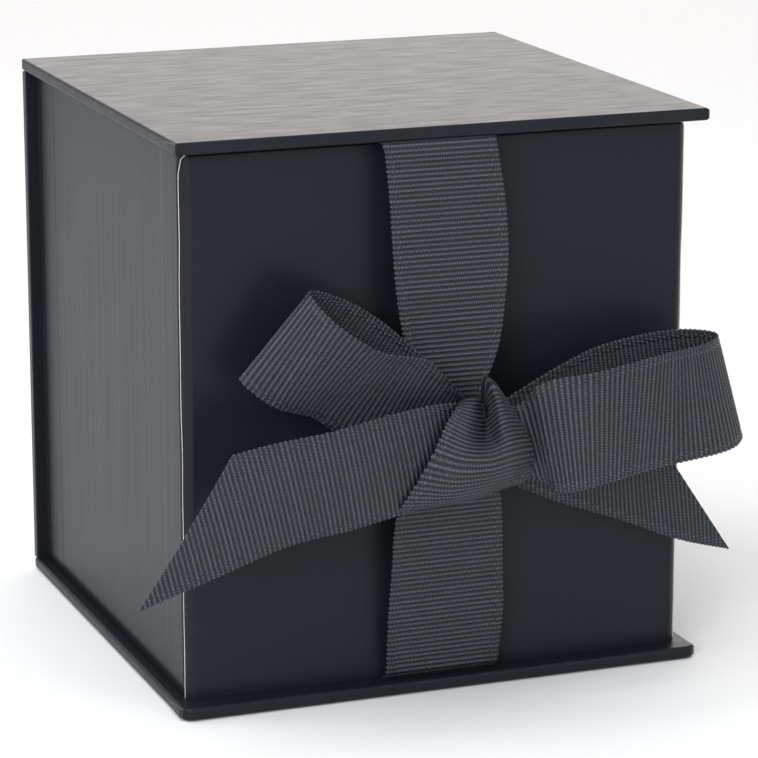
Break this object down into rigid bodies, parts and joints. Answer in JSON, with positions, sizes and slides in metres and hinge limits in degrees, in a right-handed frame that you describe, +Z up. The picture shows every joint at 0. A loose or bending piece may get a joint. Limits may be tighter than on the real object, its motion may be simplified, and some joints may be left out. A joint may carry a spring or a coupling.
{
  "type": "gift box",
  "caption": "Small flip-top gift box of paper-covered board with a hinged lid, an open tray and a wide grosgrain ribbon tied in a bow at the front.",
  "frame": {"origin": "middle of the base's underside, half way between the lid's front and back edges", "axes": "+Z up through the lid, -Y towards the front with the bow, +X to the right of someone facing the bow"},
  "size_m": [0.1226, 0.1212, 0.1096],
  "materials": {
    "greyboard": "bare pressed greyboard",
    "cover_paper": "charcoal cover paper with a fine brushed satin surface",
    "lining_paper": "matt charcoal lining paper",
    "stay_paper": "kraft corner tape",
    "ribbon": "ribbed grosgrain with woven edges"
  },
  "bodies": {
    "box": {"base_board": "greyboard", "base_cover": "cover_paper", "spine_board": "greyboard", "spine_cover": "cover_paper", "spine_lining": "lining_paper", "tray_floor_board": "greyboard", "tray_floor_lining": "lining_paper", "tray_front_board": "greyboard", "tray_back_board": "greyboard", "tray_left_board": "greyboard", "tray_right_board": "greyboard", "tray_stay_front_left": "stay_paper", "tray_stay_front_right": "stay_paper", "tray_stay_back_left": "stay_paper", "tray_stay_back_right": "stay_paper", "tray_cover": "cover_paper", "tray_wall_lining": "lining_paper", "lower_ribbon_anchor": "ribbon", "lower_ribbon_strap": "ribbon"},
    "lid": {"lid_board": "greyboard", "lid_cover": "cover_paper", "lid_lining_card": "greyboard", "lid_lining_paper": "lining_paper", "upper_ribbon_anchor": "ribbon"},
    "bow": {"upper_ribbon_strap": "ribbon", "bow_knot": "ribbon", "bow_left_loop": "ribbon", "bow_right_loop": "ribbon", "bow_left_tail": "ribbon", "bow_right_tail": "ribbon"}
  },
  "joints": [
    {"name": "lid_hinge", "type": "hinge", "parent": "box", "child": "lid", "pos_m": [0, 0.0527, 0.10715], "axis": [-1, 0, 0], "range_deg": [0, 180]},
    {"name": "ribbon_swing", "type": "hinge", "parent": "lid", "child": "bow", "pos_m": [0, -0.0531, 0.10695], "axis": [-1, 0, 0], "range_deg": [0, 180]}
  ]
}
